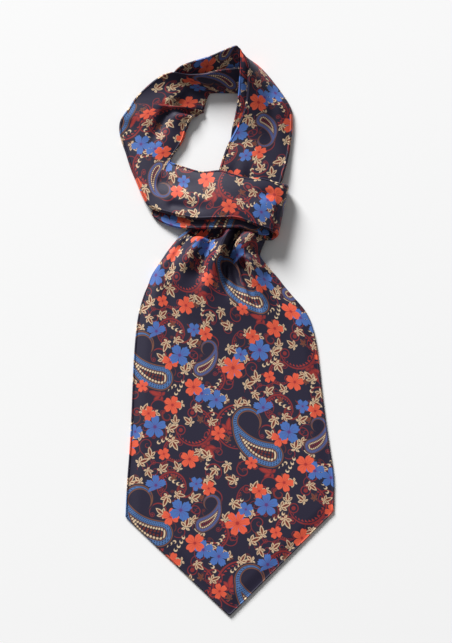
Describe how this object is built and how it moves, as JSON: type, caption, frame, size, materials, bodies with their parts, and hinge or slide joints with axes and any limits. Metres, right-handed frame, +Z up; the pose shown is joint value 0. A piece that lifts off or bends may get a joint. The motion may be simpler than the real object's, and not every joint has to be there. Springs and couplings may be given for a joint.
{
  "type": "silk cravat",
  "caption": "Self-tie silk cravat with a printed paisley and flower pattern, tied in a loop and laid flat, its pointed blade gathered under the knot.",
  "frame": {"origin": "centre of the bounding box, on the surface that the cravat lies on", "axes": "+Z up from the surface, +Y from the blade's point to the back of the neck, +X to the right seen from above with the point nearest"},
  "size_m": [0.167, 0.447, 0.027],
  "materials": {
    "printed_silk": "soft sheen printed twill"
  },
  "bodies": {
    "root": {"front_blade": "printed_silk", "rear_blade": "printed_silk", "neck_band_left": "printed_silk", "neck_band_back": "printed_silk", "neck_band_back_rim": "printed_silk", "neck_band_right": "printed_silk", "neck_band_right_rim": "printed_silk", "knot_wrap": "printed_silk", "knot_wrap_rim": "printed_silk"}
  },
  "joints": []
}
